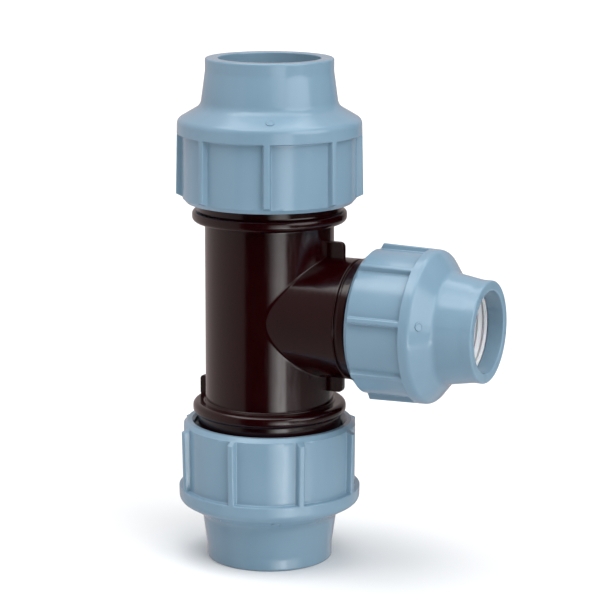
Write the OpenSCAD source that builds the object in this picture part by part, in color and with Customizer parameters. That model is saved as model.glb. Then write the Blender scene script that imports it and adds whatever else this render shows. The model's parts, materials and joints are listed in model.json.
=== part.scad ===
// Compression tee for plastic pressure pipe, with two equal ports on the run and a smaller
// port on the branch. Each port has a screwed nut, a split grip ring, a thrust bush and an
// O-ring, which all sit in or on the one moulded body.
// The origin is the centre of the lower mouth, on the plane that the fitting stands on.
// +Z runs up the run's axis and +X runs out along the branch.

/* [Body] */
// Height of the run, from mouth to mouth with the nuts hand-tight
run_l = 319; // [312:1:330]
// Distance from the run's axis to the branch's mouth
branch_l = 147.5; // [146:0.5:152]
// Outside diameter of the run's tube between its collars
tube_d = 81; // [79:0.2:82]
// Outside diameter of the branch's boss
boss_d = 75.2; // [74:0.2:76]
// Diameter of the waterway through the run
run_way_d = 56; // [50:1:58]
// Diameter of the waterway through the branch
branch_way_d = 44; // [40:1:46]
// Outside diameter of the round collars behind the run's nuts
collar_d = 97; // [95:0.5:98]
// Thickness of the webs on the parting plane
web_t = 4; // [2:0.5:6]

/* [Run ports] */
// Outside diameter of the run's pipe
run_pipe_d = 63; // [62:0.5:63.5]
// Length of a run nut
run_nut_l = 89.5; // [88:0.5:91]
// Diameter of a run nut over its band
run_nut_d = 115; // [114:0.5:118]
// Diameter of a run nut's neck at the mouth
run_rim_d = 80; // [79:0.2:82]
// Diameter of a run nut's neck at its foot
run_foot_d = 85.8; // [84:0.2:87]
// Length of a run nut's neck
run_neck_l = 29.5; // [27:0.5:31]
// Length of a run nut's sloping shoulder
run_shoulder_l = 8.6; // [8:0.2:10]
// Crest diameter of the run's male thread
run_thread_d = 95.2; // [94.6:0.2:95.4]
// Pitch of the run's thread
run_pitch = 7; // [6.5:0.5:7]
// Turns of thread on each end of the run
run_turns = 4; // [3:1:5]

/* [Branch port] */
// Outside diameter of the branch's pipe
branch_pipe_d = 50; // [49:0.5:50.5]
// Length of the branch nut
branch_nut_l = 77.6; // [76:0.1:78]
// Diameter of the branch nut over its band
branch_nut_d = 94.8; // [94:0.2:97]
// Diameter of the branch nut's neck at the mouth
branch_rim_d = 63; // [62:0.2:64]
// Diameter of the branch nut's neck at its foot
branch_foot_d = 68.8; // [67:0.2:70]
// Length of the branch nut's neck
branch_neck_l = 24; // [22:0.5:25]
// Length of the branch nut's sloping shoulder
branch_shoulder_l = 10.2; // [9:0.2:11]
// Crest diameter of the branch's male thread
branch_thread_d = 78; // [77.6:0.2:78.2]
// Pitch of the branch's thread
branch_pitch = 6; // [5.5:0.5:6.5]
// Turns of thread on the branch
branch_turns = 4; // [3:1:4]

/* [Nut grips] */
// Number of grip ribs round each nut
ribs = 8; // [6:1:10]
// Width of a grip rib on a run nut
rib_w = 4.2; // [3.6:0.2:6]
// Angle that the upper nut's ribs are turned to
upper_turn = 21; // [0:1:45]
// Angle that the lower nut's ribs are turned to
lower_turn = 1; // [0:1:45]
// Angle that the branch nut's ribs are turned to
branch_turn = 12; // [0:1:45]

/* [Grip rings] */
// Width of the slit in a grip ring
slit_w = 8; // [5:0.5:10]
// Number of rows of teeth in a grip ring
tooth_rows = 6; // [4:1:8]

/* [Hidden] */
$fn = 96;

nut_colour = "#7c9bb2";
body_colour = "#2b1f1f";
ring_colour = "#e9e9e6";
bush_colour = "#3a3f45";
seal_colour = "#161616";

axis_z = run_l / 2;       // height of the branch's axis
pipe_gap = 0.35;          // pipe to mouth, all round
slip_gap = 0.3;           // bush and O-ring to the body's bore, all round
thread_gap = 0.6;         // thread crest to root, all round
over = 1;                 // how far a cutter runs past the face that it cuts
facets = 32;              // sides that a turn of thread is built from
collar_gap = 5.2;         // run nut to collar
collar_l = 7.2;           // length of a collar
collar_z = axis_z - run_nut_l - collar_gap - collar_l; // branch's axis to the near face of a collar

run_port = [run_pipe_d / 2, run_nut_l, run_nut_d / 2, run_rim_d / 2, run_foot_d / 2,
            run_neck_l, run_shoulder_l, run_thread_d / 2, run_pitch, run_turns];
branch_port = [branch_pipe_d / 2, branch_nut_l, branch_nut_d / 2, branch_rim_d / 2, branch_foot_d / 2,
               branch_neck_l, branch_shoulder_l, branch_thread_d / 2, branch_pitch, branch_turns];

// The sizes of port p. Depths run inwards from the port's mouth.
function pipe_r(p) = p[0];
function nut_l(p) = p[1];
function nut_r(p) = p[2];
function rim_r(p) = p[3];
function foot_r(p) = p[4];
function neck_l(p) = p[5];
function shoulder_l(p) = p[6];
function crest_r(p) = p[7];
function pitch(p) = p[8];
function turns(p) = p[9];
function mouth_r(p) = pipe_r(p) + pipe_gap;
function lip_l(p) = 0.135 * nut_l(p);
function cone_start_r(p) = mouth_r(p) + 0.12 * pipe_r(p);
function cone_end_r(p) = mouth_r(p) + 0.29 * pipe_r(p);
function cone_end(p) = 0.45 * nut_l(p);
function cone_r(p, u) = cone_start_r(p)
    + (cone_end_r(p) - cone_start_r(p)) * (u - lip_l(p)) / (cone_end(p) - lip_l(p));
function ring_end(p) = 0.405 * nut_l(p);
function ledge(p) = 0.523 * nut_l(p);
function body_end(p) = 0.53 * nut_l(p);
function bush_end(p) = 0.645 * nut_l(p);
function seal_d(p) = 0.216 * pipe_r(p);
function seal_at(p) = bush_end(p) + slip_gap + seal_d(p) / 2;
function seat(p) = seal_at(p) + seal_d(p) / 2 + slip_gap / 2;
function bore_r(p) = pipe_r(p) + seal_d(p);
function thread_h(p) = 0.34 * pitch(p);
function core_r(p) = crest_r(p) - thread_h(p);
function root_r(p) = crest_r(p) + thread_gap;
function thread_start(p) = body_end(p) + pitch(p);
function panel_r(p) = 0.946 * nut_r(p);

// The corner b of an outline, between its neighbours a and c, rounded to the radius b[2]
function flat(v) = [v.x, v.y];
function unit(v) = v / norm(v);
function corner(a, b, c, steps = 5) = b[2] == 0 ? [flat(b)] :
    let(back = unit(flat(a) - flat(b)),
        on = unit(flat(c) - flat(b)),
        half = acos(back * on) / 2,
        centre = flat(b) + unit(back + on) * b[2] / sin(half),
        first = flat(b) + back * b[2] / tan(half) - centre,
        last = flat(b) + on * b[2] / tan(half) - centre,
        start = atan2(first.y, first.x),
        sweep = (180 - 2 * half) * sign(cross(first, last)))
    [for (i = [0 : steps]) centre + b[2] * [cos(start + sweep * i / steps), sin(start + sweep * i / steps)]];

// The outline through corners [x, y, radius]
function rounded(c) = [for (i = [0 : len(c) - 1])
    each corner(c[(i + len(c) - 1) % len(c)], c[i], c[(i + 1) % len(c)])];

// Port frames: z runs inwards from the mouth
module at_lower() {
    children();
}

module at_upper() {
    translate([0, 0, run_l]) rotate([180, 0, 0]) children();
}

module at_branch() {
    translate([branch_l, 0, axis_z]) rotate([0, -90, 0]) children();
}

// Ring of the outline through corners [radius, depth, rounding]
module turned(corners) {
    rotate_extrude() polygon(rounded(corners));
}

// Solid of radius low, from depth from to depth to, with one right-hand helical ridge of radius
// high that fades in from depth first and fades out count turns further on
module threaded(low, high, from, to, first, lead, count, low_w, high_w) {
    last = first + count * lead;
    column = 4 * count + 2;
    function tip(u) = low + (high - low) * max(0, min(1, 2 * (u - first) / lead, 2 * (last - u) / lead));
    function ridge(u) = [[low, u - low_w / 2], [tip(u), u - high_w / 2],
                         [tip(u), u + high_w / 2], [low, u + low_w / 2]];
    points = [for (i = [0 : facets - 1])
        let(a = 360 * i / facets,
            ridges = [for (n = [0 : count - 1]) each ridge(first + lead * (n + i / facets))])
        each [for (q = [[low, from], each ridges, [low, to]]) [q[0] * cos(a), q[0] * sin(a), q[1]]]];
    // The last column meets the first one turn further along the ridge
    top = column - 1;
    seam = (facets - 1) * column;
    rows = 4 * (count - 1);
    sides = [for (i = [0 : facets - 2], k = [0 : top - 1]) let(b = i * column + k)
        each [[b, b + 1, b + column + 1], [b, b + column + 1, b + column]]];
    join = [for (k = [1 : rows - 1]) let(b = seam + k) each [[b, b + 1, k + 5], [b, k + 5, k + 4]]];
    foot = concat([[seam, seam + 1, 5]], [for (k = [5 : -1 : 1]) [seam, k, k - 1]]);
    head = concat([for (k = [rows : rows + 3]) [seam + k, seam + k + 1, rows + 4]],
        [[seam + rows + 4, seam + top, top], [seam + rows + 4, top, rows + 4]]);
    caps = [[for (i = [0 : facets - 1]) i * column], [for (i = [facets - 1 : -1 : 0]) i * column + top]];
    polyhedron(points, concat(sides, join, foot, head, caps));
}

// Solid of port p's thread from depth from to depth to, grown all round by gap, which starts
// lead_in turns before the body's thread and has count turns
module thread(p, gap, from, to, lead_in, count) {
    threaded(core_r(p) + gap, crest_r(p) + gap, from, to, thread_start(p) - lead_in * pitch(p), pitch(p),
        count, 0.62 * pitch(p) + gap, 0.26 * pitch(p) + gap);
}

// Outline of a nut's skirt: slightly bulged panels between straight ribs
module skirt_outline(p) {
    bulge = 0.87 * panel_r(p);
    for (i = [0 : ribs - 1]) {
        rotate(360 * (i + 0.5) / ribs) translate([panel_r(p) - bulge, 0]) circle(r = bulge);
        rotate(360 * i / ribs) translate([0, -rib_w * nut_r(p) / run_nut_d])
            square([nut_r(p) + 2 * over, rib_w * 2 * nut_r(p) / run_nut_d]);
    }
}

module nut(p, turn) {
    rib_r = nut_r(p) + 1.1;
    skirt_r = panel_r(p) - 0.3;
    bevel = 1;
    rim_bevel = 2;
    rim_l = 2.4;
    relief_r = root_r(p) + 0.4;
    relief_end = thread_start(p) - pitch(p) / 2;
    tap_turns = ceil((nut_l(p) - thread_start(p)) / pitch(p) + 1.5);
    color(nut_colour) difference() {
        rotate(turn) difference() {
            turned([
                [mouth_r(p), 0, 0],
                [rim_r(p), 0, 1.2],
                [rim_r(p), 0.09 * nut_l(p), 20],
                [foot_r(p), neck_l(p), 0.078 * nut_l(p)],
                [nut_r(p), neck_l(p) + shoulder_l(p), 4.5],
                [nut_r(p) + 0.2, ledge(p), 0],
                [rib_r, nut_l(p) - rim_l - 0.45 * (rib_r - skirt_r), 0],
                [skirt_r, nut_l(p) - rim_l, 0],
                [skirt_r - rim_bevel, nut_l(p), 0],
                [root_r(p) + bevel, nut_l(p), 0],
                [core_r(p), nut_l(p) - root_r(p) - bevel + core_r(p), 0],
                [core_r(p), relief_end, 0],
                [relief_r, relief_end, 0],
                [relief_r, cone_end(p) + 3 * bevel, 0],
                [cone_end_r(p), cone_end(p), 0],
                [cone_start_r(p), lip_l(p), 0],
                [mouth_r(p), lip_l(p), 0]
            ]);
            translate([0, 0, ledge(p)]) linear_extrude(nut_l(p)) difference() {
                circle(r = rib_r + over);
                skirt_outline(p);
            }
        }
        thread(p, thread_gap, relief_end - pitch(p), nut_l(p) + 2 * pitch(p), 1, tap_turns);
    }
}

// Split ring with rows of teeth inside and a cone outside that lies along the nut's cone
module grip_ring(p) {
    start = lip_l(p) + 2 * slip_gap;
    row = (ring_end(p) - start) / tooth_rows;
    tip_r = pipe_r(p) + 0.2;
    tooth_h = 0.04 * pipe_r(p);
    teeth = [for (i = [0 : tooth_rows - 1]) each [
        [tip_r, ring_end(p) - i * row - 0.2 * row],
        [tip_r, ring_end(p) - i * row - 0.35 * row],
        [tip_r + tooth_h, ring_end(p) - i * row - row]
    ]];
    color(ring_colour) difference() {
        rotate_extrude() polygon(concat([
            [tip_r + tooth_h, start],
            [cone_r(p, start) - slip_gap, start],
            [cone_r(p, ring_end(p)) - slip_gap, ring_end(p)],
            [tip_r + tooth_h, ring_end(p)]
        ], [for (i = [0 : len(teeth) - 2]) teeth[i]]));
        translate([-nut_r(p), -slit_w / 2, start - over]) cube([nut_r(p), slit_w, ring_end(p)]);
    }
}

// Flanged sleeve that pushes the O-ring down its bore
module thrust_bush(p) {
    start = ring_end(p) + slip_gap;
    flange_l = 0.045 * nut_l(p);
    color(bush_colour) turned([
        [mouth_r(p), start, 0.8],
        [cone_r(p, start) - slip_gap, start, 0.8],
        [cone_r(p, start) - slip_gap, start + flange_l, 0.5],
        [bore_r(p) - slip_gap, start + flange_l, 0],
        [bore_r(p) - slip_gap, bush_end(p), 1],
        [mouth_r(p), bush_end(p), 0.5]
    ]);
}

module o_ring(p) {
    color(seal_colour) translate([0, 0, seal_at(p)]) rotate_extrude()
        translate([bore_r(p) - slip_gap - seal_d(p) / 2, 0]) circle(d = seal_d(p));
}

// Outside of one half of the run, from its threaded end to the branch's axis
module run_arm(p) {
    collar_at = nut_l(p) + collar_gap;
    step_l = 0.8;
    thread(p, 0, body_end(p), collar_at + over, 0, turns(p));
    turned([
        [0, collar_at, 0],
        [collar_d / 2, collar_at, 2.5],
        [collar_d / 2, collar_at + collar_l, 3],
        [tube_d / 2 + 1.2, collar_at + collar_l, 0],
        [tube_d / 2 + 1.2, collar_at + collar_l + step_l, 0.5],
        [tube_d / 2, collar_at + collar_l + step_l, 0],
        [tube_d / 2, axis_z, 0],
        [0, axis_z, 0]
    ]);
}

// Outside of the branch, from its threaded end to the run's axis
module branch_arm(p) {
    ring_at = nut_l(p) + 2.5;
    ring_l = 6.2;
    thread(p, 0, body_end(p), ring_at + over, 0, turns(p));
    turned([
        [0, ring_at, 0],
        [boss_d / 2 + 0.8, ring_at, 0.5],
        [boss_d / 2 + 0.8, ring_at + ring_l, 0.5],
        [boss_d / 2, ring_at + ring_l, 0],
        [boss_d / 2, branch_l, 0],
        [0, branch_l, 0]
    ]);
}

// Bore of a port: the O-ring's bore and then the pipe's socket, down to the stop
module port_bore(p, stop) {
    translate([0, 0, body_end(p) - over]) cylinder(r = bore_r(p), h = seat(p) - body_end(p) + over);
    translate([0, 0, body_end(p) - over]) cylinder(r = mouth_r(p), h = stop - body_end(p) + over);
}

// Plate on the parting plane that spans x from a to b and z from c to d, from the branch's axis
module web(a, b, c, d, edge_r) {
    translate([0, web_t / 2, axis_z]) rotate([90, 0, 0]) linear_extrude(web_t)
        polygon(rounded([[a, c, 0], [b, c, 0], [b, d, edge_r], [a, d, 0]]));
}

module tee_body() {
    wall_x = tube_d / 2 - 4;
    wall_z = boss_d / 2 - 5;
    web_z = boss_d / 2 + 10;
    run_stop = axis_z - 36;
    branch_stop = branch_l - 48;
    color(body_colour) union() {
        difference() {
            union() {
                at_lower() run_arm(run_port);
                at_upper() run_arm(run_port);
                at_branch() branch_arm(branch_port);
                web(wall_x, tube_d / 2 + 11, wall_z, web_z, 3);
                web(wall_x, tube_d / 2 + 11, -wall_z, -web_z, 3);
                web(-wall_x, -collar_d / 2, -collar_z - 1, -collar_z + 11, 2);
                web(-wall_x, -collar_d / 2, collar_z + 1, collar_z - 4, 1);
            }
            cylinder(d = run_way_d, h = run_l);
            at_lower() port_bore(run_port, run_stop);
            at_upper() port_bore(run_port, run_stop);
            at_branch() port_bore(branch_port, branch_stop);
            translate([0, 0, axis_z]) rotate([0, 90, 0]) cylinder(d = branch_way_d, h = branch_l);
        }
    }
}

tee_body();
at_upper() nut(run_port, upper_turn);  // upper_nut
at_upper() grip_ring(run_port);  // upper_grip_ring
at_upper() thrust_bush(run_port);  // upper_thrust_bush
at_upper() o_ring(run_port);  // upper_o_ring
at_lower() nut(run_port, lower_turn);  // lower_nut
at_lower() grip_ring(run_port);  // lower_grip_ring
at_lower() thrust_bush(run_port);  // lower_thrust_bush
at_lower() o_ring(run_port);  // lower_o_ring
at_branch() nut(branch_port, branch_turn);  // branch_nut
at_branch() grip_ring(branch_port);  // branch_grip_ring
at_branch() thrust_bush(branch_port);  // branch_thrust_bush
at_branch() o_ring(branch_port);  // branch_o_ring
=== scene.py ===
import json
import math

import bmesh
import bpy
import numpy as np
from mathutils import Matrix, Vector


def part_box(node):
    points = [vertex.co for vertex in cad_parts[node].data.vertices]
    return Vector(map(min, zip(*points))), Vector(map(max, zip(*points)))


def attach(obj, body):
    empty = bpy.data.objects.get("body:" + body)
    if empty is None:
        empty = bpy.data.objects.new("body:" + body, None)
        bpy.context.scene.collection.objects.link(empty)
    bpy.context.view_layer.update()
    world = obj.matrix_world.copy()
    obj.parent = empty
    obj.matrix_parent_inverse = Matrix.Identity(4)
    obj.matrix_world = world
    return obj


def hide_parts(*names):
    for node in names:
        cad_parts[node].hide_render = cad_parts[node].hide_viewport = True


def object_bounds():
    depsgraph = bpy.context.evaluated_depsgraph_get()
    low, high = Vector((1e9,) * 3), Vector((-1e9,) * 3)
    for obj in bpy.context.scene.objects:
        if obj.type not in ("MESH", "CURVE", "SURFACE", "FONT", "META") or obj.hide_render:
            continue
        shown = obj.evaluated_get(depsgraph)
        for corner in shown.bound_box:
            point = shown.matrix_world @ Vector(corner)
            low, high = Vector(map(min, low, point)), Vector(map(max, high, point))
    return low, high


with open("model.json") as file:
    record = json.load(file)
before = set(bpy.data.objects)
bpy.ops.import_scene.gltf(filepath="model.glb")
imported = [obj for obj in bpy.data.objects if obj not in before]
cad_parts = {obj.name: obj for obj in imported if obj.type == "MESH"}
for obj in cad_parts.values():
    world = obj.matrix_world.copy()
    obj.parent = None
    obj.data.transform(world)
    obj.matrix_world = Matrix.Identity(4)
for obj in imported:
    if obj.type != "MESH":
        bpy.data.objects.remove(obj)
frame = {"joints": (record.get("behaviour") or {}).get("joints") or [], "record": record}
cad_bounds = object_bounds()

MM = 0.001
TURN = 2 * math.pi

# Sizes of the moulded shapes that the frame does not state, in metres
TUBE_R = 40.5 * MM          # outside of the run's tube
BOSS_R = 37.6 * MM          # outside of the branch's boss
COLLAR_R = 48.5 * MM        # round collars behind the run's nuts
COLLAR_L = 7.2 * MM
COLLAR_GAP = 5.2 * MM       # from a run nut to its collar
RUN_WAY_R = 28 * MM         # waterways
BRANCH_WAY_R = 22 * MM
RUN_STOP = 36 * MM          # pipe stops, from the axes' crossing
BRANCH_STOP = 48 * MM
WEB_T = 4 * MM              # webs on the parting plane
RUN_NUT_R = 57.5 * MM       # outside of a run nut's band
THREAD_TURNS = 4            # turns of thread on each arm of the body
PIPE_GAP = 0.35 * MM        # pipe to mouth, all round
THREAD_GAP = 0.6 * MM       # thread crest to root, all round
SLIP_GAP = 0.3 * MM         # between inner pieces that slide
RIBS = 8
RIB_TURNS = {"upper": 21, "lower": 1, "branch": 12}   # degrees that each nut's ribs are turned to
GATE_MARK_TURNS = {"upper": 64, "lower": 300, "branch": 282}   # degrees round each nut of its gate mark
SLIT_W = 8 * MM             # slit in a grip ring
TOOTH_ROWS = 6
SHARP_ANGLE = math.radians(50)   # edges sharper than this are not shaded smooth


class Port:
    """One of the three compression ports. Depths run inwards from its mouth, along its local z."""

    def __init__(self, name):
        record = frame["record"]
        mount = next(m for m in record["mounts"] if m["name"] == name + "_port")
        joint = next(j for j in frame["joints"] if j["name"] == name + "_nut_turn")
        slide = next(c for c in record["behaviour"]["couplings"] if c["joint"] == name + "_nut_travel")
        low, high = (Vector(corner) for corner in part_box(name + "_nut"))
        outward = Vector(joint["axis"])
        self.name = name
        self.run = name != "branch"
        self.origin = Vector(mount["pos_m"])
        self.nut_l = abs((high - low).dot(outward))
        self.mouth_r = mount["dims"]["r_mm"] * MM
        self.pipe_r = self.mouth_r - PIPE_GAP
        self.lip_l = mount["dims"]["length_mm"] * MM
        self.pitch = slide["ratio"] * TURN
        self.nut_r = RUN_NUT_R if self.run else 47.4 * MM
        self.rim_r = (40 if self.run else 31.5) * MM
        self.foot_r = (42.9 if self.run else 34.4) * MM
        self.neck_l = (29.5 if self.run else 24) * MM
        self.shoulder_l = (8.6 if self.run else 10.2) * MM
        self.crest_r = (47.6 if self.run else 39) * MM
        self.core_r = self.crest_r - 0.34 * self.pitch
        self.cone_start_r = self.mouth_r + 0.12 * self.pipe_r
        self.cone_end_r = self.mouth_r + 0.29 * self.pipe_r
        self.cone_end = 0.45 * self.nut_l
        self.ring_start = self.lip_l + 2 * SLIP_GAP
        self.ring_end = 0.405 * self.nut_l
        self.ledge = 0.523 * self.nut_l
        self.body_end = 0.53 * self.nut_l
        self.bush_end = 0.645 * self.nut_l
        self.seal_d = 0.216 * self.pipe_r
        self.bore_r = self.pipe_r + self.seal_d
        self.seal_at = self.bush_end + SLIP_GAP + self.seal_d / 2
        self.seat = self.seal_at + self.seal_d / 2 + SLIP_GAP / 2
        self.thread_start = self.body_end + self.pitch
        self.scale = self.nut_r / RUN_NUT_R
        facing = {"upper": Matrix.Rotation(math.pi, 4, "X"), "lower": Matrix.Identity(4),
                  "branch": Matrix.Rotation(-math.pi / 2, 4, "Y")}
        self.matrix = Matrix.Translation(self.origin) @ facing[name]

    def cone_r(self, depth):
        """Radius of the nut's inner cone."""
        share = (depth - self.lip_l) / (self.cone_end - self.lip_l)
        return self.cone_start_r + (self.cone_end_r - self.cone_start_r) * share

    def thread_r(self, angle, depth, gap, first, last):
        """Radius of the thread's surface, grown by gap, for a ridge between two depths."""
        along = (depth - self.thread_start) / self.pitch - angle / TURN
        off = np.abs(along - np.round(along)) * self.pitch
        root_w, crest_w = 0.31 * self.pitch + gap / 2, 0.13 * self.pitch + gap / 2
        flank = np.clip((root_w - off) / (root_w - crest_w), 0, 1)
        flank = flank * flank * (3 - 2 * flank) * 0.4 + flank * 0.6
        fade = np.clip(np.minimum(depth - first, last - depth) * 2 / self.pitch, 0, 1)
        return self.core_r + gap + (self.crest_r - self.core_r) * flank * fade


ports = {name: Port(name) for name in ("upper", "lower", "branch")}
branch = ports["branch"]
axis_z = branch.origin.z


# ---------------------------------------------------------------- mesh tools

def rounded(before, corner, after, steps):
    """The arc that rounds one corner (x, y, radius) of an outline."""
    here, radius = np.array(corner[:2]), corner[2]
    if not radius:
        return [here]
    back = np.array(before[:2]) - here
    on = np.array(after[:2]) - here
    back, on = back / np.linalg.norm(back), on / np.linalg.norm(on)
    half = math.acos(np.clip(back @ on, -1, 1)) / 2
    centre = here + (back + on) / np.linalg.norm(back + on) * radius / math.sin(half)
    first = here + back * radius / math.tan(half) - centre
    last = here + on * radius / math.tan(half) - centre
    start = math.atan2(first[1], first[0])
    sweep = math.atan2(first[0] * last[1] - first[1] * last[0], first @ last)
    angles = [start + sweep * i / steps for i in range(steps + 1)]
    return [centre + radius * np.array([math.cos(a), math.sin(a)]) for a in angles]


def outline(corners, closed=True, steps=6, support=0.5 * MM):
    """Points along an outline with rounded corners. Points close to each end of a straight
    stretch keep the smooth shading of a rounding from spreading over the flat beside it."""
    count = len(corners)
    points = []
    for i, corner in enumerate(corners):
        if not closed and i in (0, count - 1):
            points.append(np.array(corner[:2]))
        else:
            points += rounded(corners[i - 1], corner, corners[(i + 1) % count], steps)
    out = []
    for i, here in enumerate(points):
        out.append(here)
        if i == len(points) - 1 and not closed:
            break
        step = points[(i + 1) % len(points)] - here
        length = np.linalg.norm(step)
        if length > 3 * support:
            out += [here + step * support / length, here + step * (1 - support / length)]
    return out


def ring(angles, radius, depth):
    """A ring of points round the local z axis. Radius and depth may vary with the angle."""
    radius = radius + 0 * angles
    depth = depth + 0 * angles
    return np.stack([radius * np.cos(angles), radius * np.sin(angles), depth], axis=1)


def quads(rows, columns, wrap_rows, wrap_columns, start=0):
    """Faces of a grid of points that is stored row by row."""
    faces = []
    for i in range(rows if wrap_rows else rows - 1):
        for k in range(columns if wrap_columns else columns - 1):
            a, b = i * columns, (i + 1) % rows * columns
            m = (k + 1) % columns
            faces.append((start + a + k, start + a + m, start + b + m, start + b + k))
    return faces


def make_object(name, points, faces, matrix, weld=0.0):
    """A smooth-shaded object from points and faces, with its normals turned outwards."""
    mesh = bpy.data.meshes.new(name)
    mesh.from_pydata([tuple(p) for p in points], [], faces)
    mesh.transform(matrix)
    work = bmesh.new()
    work.from_mesh(mesh)
    if weld:
        bmesh.ops.remove_doubles(work, verts=work.verts, dist=weld)
    bmesh.ops.dissolve_degenerate(work, edges=work.edges, dist=1e-7)
    bmesh.ops.recalc_face_normals(work, faces=work.faces)
    work.to_mesh(mesh)
    work.free()
    mesh.shade_smooth()
    mesh.set_sharp_from_angle(angle=SHARP_ANGLE)
    made = bpy.data.objects.new(name, mesh)
    bpy.context.collection.objects.link(made)
    return made


def loft(name, rings, matrix):
    """A closed skin through rings of points, whose last ring meets its first."""
    rings = np.array(rings)
    faces = quads(rings.shape[0], rings.shape[1], True, True)
    return make_object(name, rings.reshape(-1, 3), faces, matrix)


def lathe(name, corners, matrix, columns=192, steps=6):
    """A turned ring of the outline through corners (radius, depth, rounding)."""
    angles = np.arange(columns) * TURN / columns
    return loft(name, [ring(angles, r, u) for r, u in outline(corners, steps=steps)], matrix)


# ---------------------------------------------------------------- nuts

def rib_stations(port):
    """Angles round a nut, close together where a rib's side rises, and how much of the rib's
    height stands at each one: 1 on the rib and 0 on the panels."""
    half_w = 2.1 * MM * port.scale
    edge, foot = 0.3, 0.2       # rounding at a rib's edge and foot, as shares of its height
    edge_w, foot_w = 1.1 * MM, 0.8 * MM
    wall = 0.35 * MM
    quarter = [math.pi / 8 * i for i in range(5)]
    stations = [(0, 1), (0.5 * half_w, 1)]
    stations += [(half_w - edge_w * (1 - math.sin(q)), 1 - edge * (1 - math.cos(q))) for q in quarter]
    stations += [(half_w + wall + foot_w * (1 - math.cos(q)), foot * (1 - math.sin(q))) for q in quarter]
    foot_end = stations[-1][0]
    sector = math.pi / RIBS * port.nut_r
    panel_shares = (0.04, 0.16, 0.3, 0.44, 0.58, 0.72, 0.86, 1)
    stations += [(foot_end + (sector - foot_end) * t, 0) for t in panel_shares]
    one_side = [(s / port.nut_r, rise) for s, rise in stations]
    sector_stations = [(-a, rise) for a, rise in reversed(one_side[1:-1])] + one_side
    turn = math.radians(RIB_TURNS[port.name])
    angles, rises, offs = [], [], []
    for i in range(RIBS):
        for a, rise in sector_stations:
            angles.append(turn + TURN * i / RIBS + a)
            rises.append(rise)
            offs.append(a)
    return np.array(angles), np.array(rises), np.array(offs)


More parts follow.
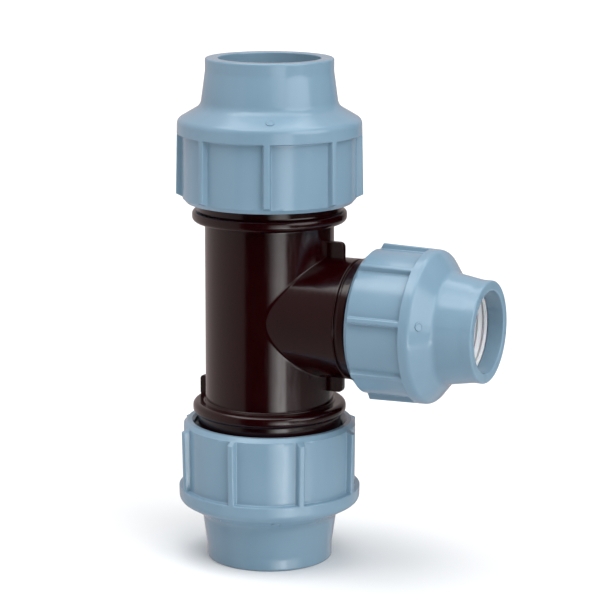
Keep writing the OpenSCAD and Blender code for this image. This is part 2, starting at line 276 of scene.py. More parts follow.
def make_nut(port):
    """A nut's moulding: neck, shoulder, band, ribbed skirt, female thread, cone and lip."""
    angles, rises, offs = rib_stations(port)
    panel_mid = 0.946 * port.nut_r
    bulge = 0.87 * panel_mid
    shift = panel_mid - bulge
    from_mid = math.pi / RIBS - np.abs(offs)
    panel_r = shift * np.cos(from_mid) + np.sqrt(bulge ** 2 - (shift * np.sin(from_mid)) ** 2)
    rib_end_r = port.nut_r + 1.1 * MM
    skirt_r = panel_mid - 0.3 * MM
    bevel = 1 * MM
    rim_bevel, rim_l = 2 * MM, 2.4 * MM
    edge = 0.6 * MM
    rings = []

    def add(radius, depth):
        rings.append(ring(angles, radius, depth))

    outer = outline([
        (port.mouth_r, 0.5 * port.lip_l, 0),
        (port.mouth_r, 0, 0.8 * MM),
        (port.rim_r, 0, 1.2 * MM),
        (port.rim_r, 0.09 * port.nut_l, 20 * MM),
        (port.foot_r, port.neck_l, 0.078 * port.nut_l),
        (port.nut_r, port.neck_l + port.shoulder_l, 4.5 * MM),
        (port.nut_r + 0.2 * MM, port.ledge - edge, 0),
    ], closed=False)
    for r, u in outer:
        add(r, u)

    def skirt(depth):
        """Radius of the ribs and panels at a depth, before the ribs' ends are cut."""
        share = (depth - port.ledge) / (port.nut_l - port.ledge)
        rib_r = port.nut_r + 0.2 * MM + (rib_end_r - port.nut_r - 0.2 * MM) * share
        return panel_r + 0.25 * MM * share + rises * (rib_r - panel_r - 0.25 * MM * share)

    # The ledge under the band, rounded at its edge and at its foot
    band = port.nut_r + 0.2 * MM
    drop = band - skirt(port.ledge)
    for q in (1, 2, 3, 4):
        a = q * math.pi / 8
        add(band - drop * 0.16 * (1 - math.cos(a)), port.ledge - edge * (1 - math.sin(a)))
    for share in (0.5, 0.75):
        add(band - drop * share, port.ledge + 0.1 * MM)
    for q in (1, 2, 3, 4):
        a = q * math.pi / 8
        add(band - drop * (0.75 + 0.25 * math.sin(a)), port.ledge + 0.1 * MM + 0.9 * MM * (1 - math.cos(a)))

    # The skirt, cut back over the ribs' ends and bevelled at its rim
    cut_start = port.nut_l - rim_l - 0.45 * (rib_end_r - skirt_r)
    limits = outline([
        (rib_end_r + 0.3 * MM, cut_start - 4 * MM, 0),
        (rib_end_r + 0.3 * MM, cut_start - 0.2 * MM, 0.8 * MM),
        (skirt_r, port.nut_l - rim_l, 1 * MM),
        (skirt_r - rim_bevel, port.nut_l, 0.4 * MM),
        (port.crest_r + THREAD_GAP + bevel, port.nut_l, 0),
    ], closed=False, steps=4, support=0.25 * MM)
    first_limit = port.ledge + 2 * MM
    for t in (0, 0.25, 0.5, 0.75):
        depth = first_limit + (cut_start - 4 * MM - first_limit) * t
        add(skirt(depth), depth)
    for limit, depth in limits:
        add(np.minimum(skirt(min(depth, port.nut_l)), limit), depth)

    # The female thread, then the cavity and the cone for the grip ring
    root_r = port.crest_r + THREAD_GAP
    relief_end = port.thread_start - port.pitch / 2
    chamfer_l = root_r + bevel - port.core_r
    rows = int((port.nut_l - relief_end) / (0.5 * MM))
    for i in range(rows + 1):
        depth = port.nut_l - 0.05 * MM - (port.nut_l - relief_end - 0.05 * MM) * i / rows
        thread = port.thread_r(angles, depth, THREAD_GAP, port.thread_start - port.pitch, 1)
        chamfer = root_r + bevel - (port.nut_l - depth)
        add(np.maximum(thread, chamfer) if port.nut_l - depth < chamfer_l else thread, depth)
    inner = outline([
        (port.core_r + THREAD_GAP, relief_end, 0),
        (root_r + 0.4 * MM, relief_end, 0.4 * MM),
        (root_r + 0.4 * MM, port.cone_end + 3 * bevel, 1 * MM),
        (port.cone_end_r, port.cone_end, 0.6 * MM),
        (port.cone_start_r, port.lip_l, 0.3 * MM),
        (port.mouth_r, port.lip_l, 0.3 * MM),
        (port.mouth_r, 0.55 * port.lip_l, 0),
    ], closed=False, steps=4)[1:]
    for r, u in inner:
        add(r, u)
    return loft(port.name + "_nut_moulding", rings, port.matrix)


def make_gate_mark(port, around):
    """A plain raised disc left by the mould on the nut's shoulder."""
    slope = Vector((port.shoulder_l, 0, -(port.nut_r - port.foot_r))).normalized()
    middle = Vector(((port.nut_r + port.foot_r) / 2 + 1.2 * MM, 0, port.neck_l + port.shoulder_l / 2))
    middle -= slope * 0.35 * MM
    lift = slope.to_track_quat("Z", "Y").to_matrix().to_4x4()
    place = Matrix.Rotation(math.radians(around), 4, "Z") @ Matrix.Translation(middle) @ lift
    corners = [(0.05 * MM, -0.6 * MM, 0), (2.6 * MM, -0.6 * MM, 0), (2.6 * MM, 0.28 * MM, 0.2 * MM),
               (2.0 * MM, 0.28 * MM, 0.2 * MM), (1.8 * MM, 0.05 * MM, 0.1 * MM), (0.05 * MM, 0.05 * MM, 0)]
    return lathe(port.name + "_gate_mark", corners, port.matrix @ place, columns=40, steps=3)


# ---------------------------------------------------------------- inner pieces

def make_grip_ring(port):
    """A split ring with saw teeth inside, a cone outside and a slit with rounded edges. The two
    rows at the inner end, next to the thrust bush, are shallow."""
    tip_r = port.pipe_r + 0.2 * MM
    tooth_h = 0.04 * port.pipe_r
    row = (port.ring_end - port.ring_start) / TOOTH_ROWS
    corners = [
        (port.cone_r(port.ring_start) - SLIP_GAP, port.ring_start, 0.6 * MM),
        (port.cone_r(port.ring_end) - SLIP_GAP, port.ring_end, 0.6 * MM),
        (tip_r + 0.25 * tooth_h, port.ring_end, 0.1 * MM),
    ]
    for i in range(TOOTH_ROWS - 1):
        top = port.ring_end - i * row
        depth = tooth_h * (0.25 if i < 2 else 1)
        corners += [(tip_r, top - 0.2 * row, 0.1 * MM), (tip_r, top - 0.35 * row, 0.1 * MM),
                    (tip_r + depth, top - row, 0.15 * MM)]
    corners += [(tip_r, port.ring_start + 0.5 * row, 0.1 * MM), (tip_r + 0.3 * MM, port.ring_start, 0.3 * MM)]
    profile = outline(corners, steps=3, support=0.3 * MM)
    gap = SLIT_W / 2 / port.pipe_r
    sweep = np.linspace(gap, TURN - gap, 150) + math.pi
    centre = np.mean(profile, axis=0)
    # How the section swells in from each end: (distance from the end, size)
    ease = [(0.0, 0.86), (0.12 * MM, 0.94), (0.45 * MM, 1.0)]
    stations = [(sweep[0] + back / port.pipe_r, size) for back, size in ease]
    stations += [(a, 1.0) for a in sweep[2:-2]]
    stations += [(sweep[-1] - back / port.pipe_r, size) for back, size in reversed(ease)]
    rings = []
    for angle, size in stations:
        section = centre + (np.array(profile) - centre) * (1 - (1 - size) * 0.35)
        r, u = section[:, 0], section[:, 1]
        rings.append(np.stack([r * math.cos(angle), r * math.sin(angle), u], axis=1))
    rings = np.array(rings)
    faces = quads(rings.shape[0], rings.shape[1], False, True)
    count = rings.shape[1]
    last = (rings.shape[0] - 1) * count
    faces += [tuple(range(count)), tuple(last + k for k in reversed(range(count)))]
    return make_object(port.name + "_grip_ring_moulding", rings.reshape(-1, 3), faces, port.matrix)


def make_thrust_bush(port):
    """A flanged sleeve that pushes the O-ring down its bore."""
    start = port.ring_end + SLIP_GAP
    flange_r = port.cone_r(start) - SLIP_GAP
    flange_end = start + 0.045 * port.nut_l
    sleeve_r = port.bore_r - SLIP_GAP
    return lathe(port.name + "_thrust_bush_moulding", [
        (port.mouth_r, start, 0.8 * MM),
        (flange_r, start, 0.8 * MM),
        (flange_r, flange_end, 0.5 * MM),
        (sleeve_r, flange_end, 0.3 * MM),
        (sleeve_r, port.bush_end, 1 * MM),
        (port.mouth_r, port.bush_end, 0.5 * MM),
    ], port.matrix)


def make_o_ring(port):
    """An O-ring with the faint flash line that its mould leaves round it."""
    angles = np.arange(192) * TURN / 192
    middle_r = port.bore_r - SLIP_GAP - port.seal_d / 2
    rings = []
    for k in range(64):
        a = TURN * k / 64
        flash = 0.06 * MM * math.exp(-((math.sin(a)) / 0.12) ** 2)
        radius = port.seal_d / 2 - 0.06 * MM + flash
        rings.append(ring(angles, middle_r + radius * math.cos(a), port.seal_at + radius * math.sin(a)))
    return loft(port.name + "_o_ring_moulding", rings, port.matrix)


# ---------------------------------------------------------------- tee body

SIDE = 72                   # columns of the branch's patch on each of its four sides
RUN_COLUMNS = 160           # columns round the whole run
PATCH_HALF = TURN * SIDE / RUN_COLUMNS / 2   # half of the angle that the patch spans
PATCH_ROWS = 16


def patch_edge(half_height):
    """Angle and height of each point on the edge of the patch of tube round the branch."""
    steps = np.arange(SIDE) / SIDE * 2 - 1
    angle = np.concatenate([0 * steps + 1, -steps, 0 * steps - 1, steps]) * PATCH_HALF
    height = np.concatenate([steps, 0 * steps + 1, -steps, 0 * steps - 1]) * half_height
    return angle, height


def around_branch():
    """Angles round the branch's axis that go with the patch's edge, from +Y towards +Z."""
    return TURN * (np.arange(4 * SIDE) / (4 * SIDE) - 1 / 8)


def on_tube(tube_r, y, z):
    """Points on the +X side of a tube round the run's axis."""
    return np.stack([np.sqrt(tube_r ** 2 - y ** 2), y, z], axis=1)


class Sheets:
    """Grids of points gathered into one mesh, whose meeting edges are then welded."""

    def __init__(self):
        self.points, self.faces, self.count = [], [], 0

    def add(self, rows, wrap=True):
        rows = np.array(rows)
        self.faces += quads(rows.shape[0], rows.shape[1], False, wrap, self.count)
        self.points.append(rows.reshape(-1, 3))
        self.count += rows.shape[0] * rows.shape[1]

    def build(self, name):
        lift = Matrix.Translation((0, 0, axis_z))
        return make_object(name, np.concatenate(self.points), self.faces, lift, weld=2e-6)


def add_crossing(sheets, tube_r, half_height, branch_r, blend, branch_start):
    """The stretch of tube that the branch leaves from, the fillet and the branch's first rows,
    up to the distance branch_start from the run's axis. Heights are from the branch's axis."""
    edge_angle, edge_height = patch_edge(half_height)
    phi = around_branch()
    y, z = branch_r * np.cos(phi), branch_r * np.sin(phi)
    wide = (branch_r + blend) / branch_r
    hole = on_tube(tube_r, y * wide, z * wide)
    hole_angle = np.arctan2(hole[:, 1], hole[:, 0])
    rows = []
    for t in np.linspace(0, 1, PATCH_ROWS) ** 1.3:
        angle = hole_angle + (edge_angle - hole_angle) * t
        height = hole[:, 2] + (edge_height - hole[:, 2]) * t
        rows.append(np.stack([tube_r * np.cos(angle), tube_r * np.sin(angle), height], axis=1))
    sheets.add(rows)
    corner = on_tube(tube_r, y, z)
    foot = corner + np.array([blend, 0, 0])
    sheets.add([hole * (1 - t) ** 2 + corner * 2 * t * (1 - t) + foot * t * t
                for t in np.linspace(0, 1, 7)])
    rows = []
    for t in (0, 0.03, 0.1, 0.25, 0.45, 0.65, 0.85, 1):
        row = foot.copy()
        row[:, 0] = foot[:, 0] + (branch_start - foot[:, 0]) * t
        rows.append(row)
    sheets.add(rows)
    back = RUN_COLUMNS - SIDE
    angles = PATCH_HALF + (TURN - 2 * PATCH_HALF) * np.arange(back + 1) / back
    heights = (np.arange(SIDE + 1) / SIDE * 2 - 1) * half_height
    sheets.add([[(tube_r * math.cos(a), tube_r * math.sin(a), h) for a in angles] for h in heights],
               wrap=False)


def add_arm(sheets, port, outer, inner):
    """A threaded arm: its outside from the crossing, its thread, its end and its bore back in.
    outer and inner are outlines of (radius, depth), and the thread lies between them."""
    if port.run:
        angles = PATCH_HALF + TURN * np.arange(RUN_COLUMNS) / RUN_COLUMNS
        local = -angles if port.name == "upper" else angles
    else:
        local = math.pi / 2 - around_branch()
    rings = [ring(local, r, u) for r, u in outer]
    last = port.thread_start + THREAD_TURNS * port.pitch
    start = outer[-1][1]
    rows = int((start - port.body_end) / (0.5 * MM))
    for i in range(rows + 1):
        depth = start - 0.05 * MM - (start - port.body_end - 1.2 * MM) * i / rows
        rings.append(ring(local, port.thread_r(local, depth, 0, port.thread_start, last), depth))
    rings += [ring(local, r, u) for r, u in inner]
    rings = np.array(rings)
    points = np.array([port.matrix @ Vector(p) for p in rings.reshape(-1, 3)]) - np.array([0, 0, axis_z])
    sheets.add(points.reshape(rings.shape))


def bore_outline(port, way_r, stop):
    """The end face, O-ring bore, pipe socket and stop of an arm, as an outline going inwards."""
    return [
        (port.core_r - 0.4 * MM, port.body_end + 0.4 * MM, 0),
        (port.core_r - 1 * MM, port.body_end, 0.6 * MM),
        (port.bore_r + 0.8 * MM, port.body_end, 0.4 * MM),
        (port.bore_r, port.body_end + 1.2 * MM, 0.6 * MM),
        (port.bore_r, port.seat, 0.8 * MM),
        (port.mouth_r, port.seat, 0.8 * MM),
        (port.mouth_r, stop, 0.8 * MM),
        (way_r, stop, 0.5 * MM),
        (way_r, stop + 2 * MM, 0),
    ]


def make_tee_body():
    """The moulded body: run, branch, collars, threads and bores, as one closed skin."""
    sheets = Sheets()
    half = 51 * MM
    branch_start = 56 * MM
    add_crossing(sheets, TUBE_R, half, BOSS_R, 0.9 * MM, branch_start)
    add_crossing(sheets, RUN_WAY_R, RUN_STOP - 2 * MM, BRANCH_WAY_R, 0.4 * MM, BRANCH_STOP - 2 * MM)
    for name in ("upper", "lower"):
        port = ports[name]
        collar_at = port.nut_l + COLLAR_GAP
        collar_end = collar_at + COLLAR_L
        outer = outline([
            (TUBE_R, axis_z - half, 0),
            (TUBE_R, collar_end + 0.8 * MM, 0.4 * MM),
            (TUBE_R + 1.1 * MM, collar_end + 0.8 * MM, 0.4 * MM),
            (TUBE_R + 1.1 * MM, collar_end, 0.3 * MM),
            (COLLAR_R, collar_end, 3 * MM),
            (COLLAR_R, collar_at, 2.5 * MM),
            (port.core_r + 0.2 * MM, collar_at, 0.5 * MM),
            (port.core_r, collar_at - 1 * MM, 0),
        ], closed=False)
        inner = outline(bore_outline(port, RUN_WAY_R, axis_z - RUN_STOP), closed=False, steps=4)
        add_arm(sheets, port, outer, inner)
    reach = branch.origin.x
    ring_at = branch.nut_l + 2.5 * MM
    ring_end = reach - 62 * MM
    groove_r = BOSS_R - 1.4 * MM
    outer = outline([
        (BOSS_R, reach - branch_start, 0),
        (BOSS_R, reach - 60.4 * MM, 0.6 * MM),
        (groove_r, reach - 60.6 * MM, 0.4 * MM),
        (groove_r, ring_end, 0.4 * MM),
        (BOSS_R + 0.5 * MM, ring_end - 0.4 * MM, 0.6 * MM),
        (BOSS_R + 0.3 * MM, ring_at, 0.5 * MM),
        (branch.core_r + 0.1 * MM, ring_at - 0.2 * MM, 0.2 * MM),
        (branch.core_r, ring_at - 1 * MM, 0),
    ], closed=False)
    inner = outline(bore_outline(branch, BRANCH_WAY_R, reach - BRANCH_STOP), closed=False, steps=4)
    add_arm(sheets, branch, outer, inner)
    return sheets.build("tee_moulding")


def make_web(name, a, b, c, d, corner_r):
    """A plate on the parting plane that spans x from a to b and z from c to d."""
    no_support = 1      # a distance longer than the plate, so that no support points are added
    points = outline([(a, c, 0), (b, c, 0), (b, d, corner_r), (a, d, 0)], support=no_support)
    mesh = bpy.data.meshes.new(name)
    made = bpy.data.objects.new(name, mesh)
    work = bmesh.new()
    face = work.faces.new([work.verts.new((x, -WEB_T / 2, axis_z + z)) for x, z in points])
    grown = bmesh.ops.extrude_face_region(work, geom=[face])["geom"]
    moved = [v for v in grown if isinstance(v, bmesh.types.BMVert)]
    bmesh.ops.translate(work, vec=(0, WEB_T, 0), verts=moved)
    bmesh.ops.recalc_face_normals(work, faces=work.faces)
    bmesh.ops.bevel(work, geom=work.edges, offset=0.6 * MM, segments=3, affect="EDGES", clamp_overlap=True)
    work.to_mesh(mesh)
    work.free()
    mesh.shade_smooth()
    mesh.set_sharp_from_angle(angle=math.radians(40))
    bpy.context.collection.objects.link(made)
    return made


def make_webs():
    """The stiffening webs in the branch's corners and the short fins behind the collars."""
    wall_x, wall_z = TUBE_R - 3 * MM, BOSS_R - 4 * MM
    web_z = BOSS_R + 10 * MM
    collar_z = axis_z - ports["lower"].nut_l - COLLAR_GAP - COLLAR_L
    return [
        make_web("web_upper", wall_x, TUBE_R + 11 * MM, wall_z, web_z, 3 * MM),
        make_web("web_lower", wall_x, TUBE_R + 11 * MM, -wall_z, -web_z, 3 * MM),
        make_web("fin_lower", -wall_x, -COLLAR_R, -collar_z - 1 * MM, -collar_z + 11 * MM, 2 * MM),
        make_web("fin_upper", -wall_x, -COLLAR_R, collar_z + 1 * MM, collar_z - 4 * MM, 1 * MM),
    ]


# ---------------------------------------------------------------- materials

def new_material(name, colour, roughness, **sockets):
    """A material with its constant values set on the shader's own sockets."""
    material = bpy.data.materials.new(name)
    material.use_nodes = True
    shader = material.node_tree.nodes["Principled BSDF"]
    shader.inputs["Base Color"].default_value = (*colour, 1)
    shader.inputs["Roughness"].default_value = roughness
    for socket, value in sockets.items():
        shader.inputs[socket.replace("_", " ")].default_value = value
    return material, material.node_tree, shader


def node(tree, kind, **values):
    """A node with its values set on its sockets, or on the node where it has no such socket."""
    made = tree.nodes.new(kind)
    for key, value in values.items():
        if key in made.inputs:
            made.inputs[key].default_value = value
        else:
            setattr(made, key, value)
    return made


def noise(tree, scale, detail=4, stretch=(1, 1, 1)):
    """Noise in the object's own coordinates, in cycles per metre, stretched along the axes."""
    place = node(tree, "ShaderNodeTexCoord")
    spread = node(tree, "ShaderNodeMapping")
    spread.inputs["Scale"].default_value = stretch
    made = node(tree, "ShaderNodeTexNoise", Scale=scale, Detail=detail)
    tree.links.new(place.outputs["Object"], spread.inputs["Vector"])
    tree.links.new(spread.outputs["Vector"], made.inputs["Vector"])
    return made.outputs["Fac"]


def ranged(tree, value, low, high, from_low=0.35, from_high=0.65):
    """A value mapped on to low to high and clamped. The default range suits noise."""
    made = node(tree, "ShaderNodeMapRange")
    made.inputs["From Min"].default_value = from_low
    made.inputs["From Max"].default_value = from_high
    made.inputs["To Min"].default_value = low
    made.inputs["To Max"].default_value = high
    tree.links.new(value, made.inputs["Value"])
    return made.outputs["Result"]


def mixed(tree, factor, first, second):
    """A mix of two colours, each one a tuple or a socket."""
    made = node(tree, "ShaderNodeMix", data_type="RGBA")   # its colour sockets are 6 and 7 in, 2 out
    for socket, value in ((made.inputs[6], first), (made.inputs[7], second)):
        if isinstance(value, tuple):
            socket.default_value = (*value, 1)
        else:
            tree.links.new(value, socket)
    tree.links.new(factor, made.inputs["Factor"])
    return made.outputs[2]


def bumped(tree, shader, layers):
    """Bump layers (height socket, depth in metres), the broad ones first."""
    normal = None
    for height, depth in layers:
        bump = node(tree, "ShaderNodeBump", Strength=1.0, Distance=depth)
        tree.links.new(height, bump.inputs["Height"])
        if normal:
            tree.links.new(normal, bump.inputs["Normal"])
        normal = bump.outputs["Normal"]
    tree.links.new(normal, shader.inputs["Normal"])


def along(tree, direction, vector):
    """How far a direction points along a vector."""
    made = node(tree, "ShaderNodeVectorMath", operation="DOT_PRODUCT")
    tree.links.new(direction, made.inputs[0])
    made.inputs[1].default_value = vector
    return made.outputs["Value"]


def maths(tree, operation, first, second):
    """The result of one operation on two sockets."""
    made = node(tree, "ShaderNodeMath", operation=operation)
    tree.links.new(first, made.inputs[0])
    tree.links.new(second, made.inputs[1])
    return made.outputs[0]


def product(tree, first, *others):
    """All the sockets multiplied together."""
    for other in others:
        first = maths(tree, "MULTIPLY", first, other)
    return first


def edge_wear(tree, width=0.7 * MM):
    """1 beside convex edges, which rub first, broken up by noise."""
    geometry = node(tree, "ShaderNodeNewGeometry")
    softened = node(tree, "ShaderNodeBevel", samples=8, Radius=width)
    turned = node(tree, "ShaderNodeVectorMath", operation="DOT_PRODUCT")
    tree.links.new(softened.outputs[0], turned.inputs[0])
    tree.links.new(geometry.outputs["Normal"], turned.inputs[1])
    edges = ranged(tree, turned.outputs["Value"], 1, 0, 0.86, 0.99)
    convex = ranged(tree, geometry.outputs["Pointiness"], 0, 1, 0.505, 0.53)
    broken = ranged(tree, noise(tree, 260, 5), 0.1, 1)
    return product(tree, edges, convex, broken)


def nut_material():
    """Blue-grey polypropylene: satin, with faint flow clouds, moulding grain and rubbed edges."""
    base, pale, deep = (0.182, 0.287, 0.374), (0.196, 0.304, 0.393), (0.169, 0.272, 0.358)
    material, tree, shader = new_material("nut_polypropylene", base, 0.18, IOR=1.53)
    clouds = mixed(tree, ranged(tree, noise(tree, 22, 3), 0, 1), deep, base)
    flow = mixed(tree, ranged(tree, noise(tree, 60, 5, (1, 1, 0.25)), 0, 0.5), clouds, pale)
    worn = mixed(tree, edge_wear(tree), flow, (0.26, 0.38, 0.47))
    tree.links.new(worn, shader.inputs["Base Color"])
    tree.links.new(ranged(tree, noise(tree, 180, 6), 0.15, 0.21), shader.inputs["Roughness"])
    bumped(tree, shader, [(noise(tree, 45, 2), 0.08 * MM), (noise(tree, 900, 3), 0.010 * MM)])
    return material


def body_material():
    """Brown-black polypropylene, glossier, with flow lines along the mould and fine scuffs."""
    base, warm = (0.0092, 0.0001, 0.0004), (0.0118, 0.0003, 0.0008)
    material, tree, shader = new_material("body_polypropylene", base, 0.17, IOR=1.5)
    clouds = mixed(tree, ranged(tree, noise(tree, 30, 4), 0, 1), base, warm)
    worn = mixed(tree, edge_wear(tree), clouds, (0.05, 0.035, 0.034))
    tree.links.new(worn, shader.inputs["Base Color"])
    scuffs = ranged(tree, noise(tree, 420, 8, (1, 1, 0.12)), 0.14, 0.24, 0.45, 0.75)
    tree.links.new(scuffs, shader.inputs["Roughness"])
    bumped(tree, shader, [(noise(tree, 35, 2), 0.08 * MM), (noise(tree, 700, 3), 0.008 * MM)])
    return material


def ring_material():
    """Natural white acetal: smooth, slightly waxy and a little uneven in tone."""
    material, tree, shader = new_material("ring_acetal", (0.82, 0.83, 0.85), 0.33, IOR=1.48)
    shader.inputs["Subsurface Weight"].default_value = 0.15
    shader.inputs["Subsurface Scale"].default_value = 2 * MM
    clouds = mixed(tree, ranged(tree, noise(tree, 50, 4), 0, 1), (0.78, 0.79, 0.82), (0.85, 0.86, 0.89))
    tree.links.new(clouds, shader.inputs["Base Color"])
    tree.links.new(ranged(tree, noise(tree, 300, 5), 0.30, 0.44), shader.inputs["Roughness"])
    bumped(tree, shader, [(noise(tree, 80, 2), 0.05 * MM), (noise(tree, 1200, 3), 0.008 * MM)])
    return material


def bush_material():
    """Dark grey polypropylene with a matt mould finish."""
    material, tree, shader = new_material("bush_polypropylene", (0.042, 0.050, 0.060), 0.42, IOR=1.49)
    clouds = mixed(tree, ranged(tree, noise(tree, 60, 4), 0, 1), (0.035, 0.043, 0.052), (0.055, 0.064, 0.075))
    worn = mixed(tree, edge_wear(tree), clouds, (0.12, 0.13, 0.14))
    tree.links.new(worn, shader.inputs["Base Color"])
    tree.links.new(ranged(tree, noise(tree, 350, 6), 0.36, 0.50), shader.inputs["Roughness"])
    bumped(tree, shader, [(noise(tree, 60, 2), 0.05 * MM), (noise(tree, 1000, 4), 0.015 * MM)])
    return material


def seal_material():
    """Black nitrile rubber: dull, with a greasy patchy sheen from the fitting grease."""
    material, tree, shader = new_material("seal_nitrile", (0.012, 0.012, 0.013), 0.5, IOR=1.52)
    tree.links.new(mixed(tree, ranged(tree, noise(tree, 90, 5), 0, 1), (0.010, 0.010, 0.011),
                         (0.020, 0.020, 0.021)), shader.inputs["Base Color"])
    tree.links.new(ranged(tree, noise(tree, 120, 4), 0.28, 0.6), shader.inputs["Roughness"])
    bumped(tree, shader, [(noise(tree, 1400, 4), 0.02 * MM)])
    return material


# ---------------------------------------------------------------- studio

FLOOR_SIZE = 9          # metres


def make_floor():
    """The pale floor that the fitting stands on."""
    work = bmesh.new()
    bmesh.ops.create_grid(work, x_segments=8, y_segments=8, size=FLOOR_SIZE)
    mesh = bpy.data.meshes.new("floor")
    work.to_mesh(mesh)
    work.free()
    floor = bpy.data.objects.new("floor", mesh)
    floor.location = (0, 3, cad_bounds[0][2])
    bpy.context.collection.objects.link(floor)
    material, tree, shader = new_material("floor_paper", (0.8, 0.8, 0.8), 0.8)
    tones = mixed(tree, ranged(tree, noise(tree, 3, 2), 0, 1), (0.795, 0.8, 0.805), (0.805, 0.805, 0.81))
    tree.links.new(tones, shader.inputs["Base Color"])
    shader.inputs["Specular IOR Level"].default_value = 0.1
    floor.data.materials.append(material)
    floor.visible_glossy = False


def sun_light(name, bearing, elevation, width, strength):
    """A very large, distant softbox. Its bearing is from -Y towards +X, in degrees."""
    data = bpy.data.lights.new(name, "SUN")
    data.angle = math.radians(width)
    data.energy = strength
    turn, rise = math.radians(bearing), math.radians(elevation)
    source = Vector((math.sin(turn) * math.cos(rise), -math.cos(turn) * math.cos(rise), math.sin(rise)))
    made = bpy.data.objects.new(name, data)
    made.rotation_euler = source.to_track_quat("Z", "Y").to_euler()
    made.visible_glossy = False
    bpy.context.collection.objects.link(made)


def make_world():
    """A white dome for soft light, brightest overhead. Glossy surfaces see the studio instead: a
    warm white card all along the left, two lamps low at the front right, a round window at the
    right, softboxes overhead, the pale floor far off, and otherwise the dark of the room."""
    world = bpy.data.worlds.new("studio")
    world.use_nodes = True
    tree = world.node_tree
    dome = tree.nodes["Background"]
    coordinates = node(tree, "ShaderNodeTexCoord").outputs["Generated"]
    height = along(tree, coordinates, (0, 0, 1))
    tree.links.new(ranged(tree, height, 0.02, 0.8, 0, 1), dome.inputs["Strength"])
    dome.inputs["Color"].default_value = (0.97, 0.985, 1, 1)
    leftward = along(tree, coordinates, (-0.956, 0.292, 0))
    card = product(tree, ranged(tree, leftward, 0, 1, 0, 0.05), ranged(tree, leftward, 0.3, 0.62, 0, 1))
    across = along(tree, coordinates, (0.713, 0.701, 0))
    inward = ranged(tree, along(tree, coordinates, (0.701, -0.713, 0)), 0, 1, 0.5, 0.7)
    lamp = product(tree, ranged(tree, across, 0, 1, -0.36, -0.05), ranged(tree, across, 1, 0, 0.14, 0.21),
                   ranged(tree, height, 4.5, 1.8, -0.24, -0.17), ranged(tree, height, 1, 0, 0.1, 0.35),
                   ranged(tree, height, 0, 1, -0.38, -0.31), inward)
    low_lamp = product(tree, ranged(tree, across, 0, 4, 0, 0.1), ranged(tree, across, 1, 0, 0.5, 0.62),
                       ranged(tree, height, 1, 0, -0.295, -0.275), ranged(tree, height, 0, 1, -0.38, -0.31),
                       inward)
    window = ranged(tree, along(tree, coordinates, (0.919, -0.195, 0.342)), 0, 2.4, 0.9, 0.93)
    front_box = ranged(tree, along(tree, coordinates, (-0.17, -0.33, 0.928)), 0, 1.2, 0.94, 0.97)
    top_box = maths(tree, "SUBTRACT", ranged(tree, height, 0, 2.3, 0.78, 0.86),
                    ranged(tree, height, 0, 1, 0.89, 0.95))
    ground = product(tree, ranged(tree, height, 0.5, 0, -0.27, -0.2),
                     ranged(tree, along(tree, coordinates, (0.956, 0.292, 0)), 0, 1, 0.2, 0.5))
    white = lamp
    for light in (low_lamp, window, front_box, top_box, ground):
        white = maths(tree, "ADD", white, light)
    room = node(tree, "ShaderNodeAddShader")
    for slot, (strength, colour) in enumerate(((card, (1, 0.85, 0.84, 1)), (white, (1, 1, 1, 1)))):
        glow = node(tree, "ShaderNodeBackground", Color=colour)
        tree.links.new(strength, glow.inputs["Strength"])
        tree.links.new(glow.outputs[0], room.inputs[slot])
    mix = node(tree, "ShaderNodeMixShader")
    tree.links.new(node(tree, "ShaderNodeLightPath").outputs["Is Glossy Ray"], mix.inputs[0])
    tree.links.new(dome.outputs[0], mix.inputs[1])
    tree.links.new(room.outputs[0], mix.inputs[2])
    tree.links.new(mix.outputs[0], tree.nodes["World Output"].inputs["Surface"])
    bpy.context.scene.world = world


CAMERA_TURN = math.radians(25.78)    # the camera's bearing, from -Y towards +X
CAMERA_DISTANCE = 1.45206
CAMERA_RISE = 0.31016                # above the branch's axis
CAMERA_PITCH = 0.2061
CAMERA_YAW = 0.0132
CAMERA_ROLL = 0.0027
CAMERA_FOCUS = 3.92445               # focal length, in widths of the sensor
SENSOR_W = 36                        # millimetres


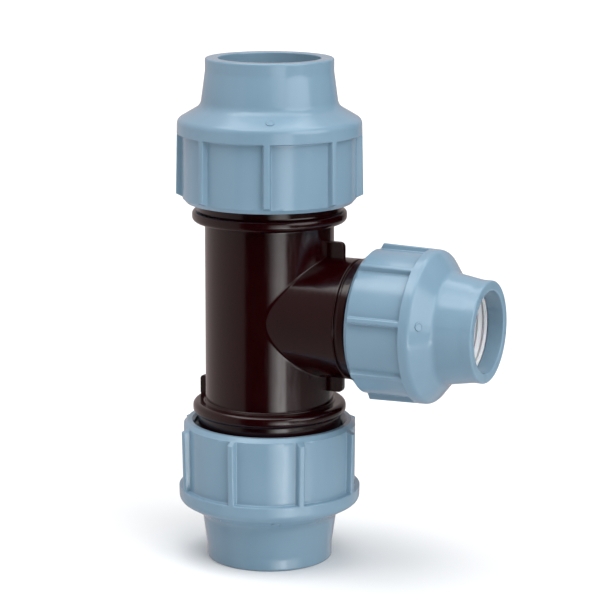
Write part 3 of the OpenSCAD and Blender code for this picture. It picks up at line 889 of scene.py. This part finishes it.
def make_camera():
    """The camera, which looks slightly down at the fitting."""
    data = bpy.data.cameras.new("camera")
    data.sensor_width = SENSOR_W
    data.lens = SENSOR_W * CAMERA_FOCUS
    data.clip_start, data.clip_end = 0.05, 60
    camera = bpy.data.objects.new("camera", data)
    bpy.context.collection.objects.link(camera)
    bearing = Matrix.Rotation(CAMERA_TURN, 3, "Z")
    forward = Vector((math.sin(CAMERA_YAW) * math.cos(CAMERA_PITCH),
                      math.cos(CAMERA_YAW) * math.cos(CAMERA_PITCH), -math.sin(CAMERA_PITCH)))
    right = Vector((math.cos(CAMERA_YAW), -math.sin(CAMERA_YAW), 0))
    up = right.cross(forward)
    rolled_right = right * math.cos(CAMERA_ROLL) + up * math.sin(CAMERA_ROLL)
    rolled_up = up * math.cos(CAMERA_ROLL) - right * math.sin(CAMERA_ROLL)
    axes = bearing @ Matrix((rolled_right, rolled_up, -forward)).transposed()
    place = bearing @ Vector((0, -CAMERA_DISTANCE, 0)) + Vector((0, 0, axis_z + CAMERA_RISE))
    camera.matrix_world = Matrix.Translation(place) @ axes.to_4x4()
    bpy.context.scene.camera = camera


# ---------------------------------------------------------------- assembly

def dress(piece, material, body, slot, *replaced):
    """Gives a piece its material and body, and hides the CAD nodes that it stands for. The slot is not used.
    """
    piece.data.materials.clear()
    piece.data.materials.append(material)
    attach(piece, body)
    if replaced:
        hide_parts(*replaced)


def make_pieces():
    """Every visible piece of the fitting."""
    nut, body, acetal = nut_material(), body_material(), ring_material()
    bush, rubber = bush_material(), seal_material()
    dress(make_tee_body(), body, "tee", "body_plastic", "tee_body")
    for web in make_webs():
        dress(web, body, "tee", "body_plastic")
    for name, port in ports.items():
        dress(make_nut(port), nut, name + "_nut", "nut_plastic", name + "_nut")
        dress(make_gate_mark(port, GATE_MARK_TURNS[name]), nut, name + "_nut", "nut_plastic")
        dress(make_grip_ring(port), acetal, name + "_grip_ring", "ring_plastic", name + "_grip_ring")
        dress(make_thrust_bush(port), bush, name + "_thrust_bush", "bush_plastic", name + "_thrust_bush")
        dress(make_o_ring(port), rubber, "tee", "seal_rubber", name + "_o_ring")


bpy.context.scene.view_settings.view_transform = "Standard"
make_camera()
make_world()
make_floor()
sun_light("overhead", 0, 89, 50, 1.5)
sun_light("right", 60, 48, 50, 1.25)
sun_light("low_right", 69, 20, 50, 1.1)
sun_light("left", -60, 48, 50, 0.75)
make_pieces()
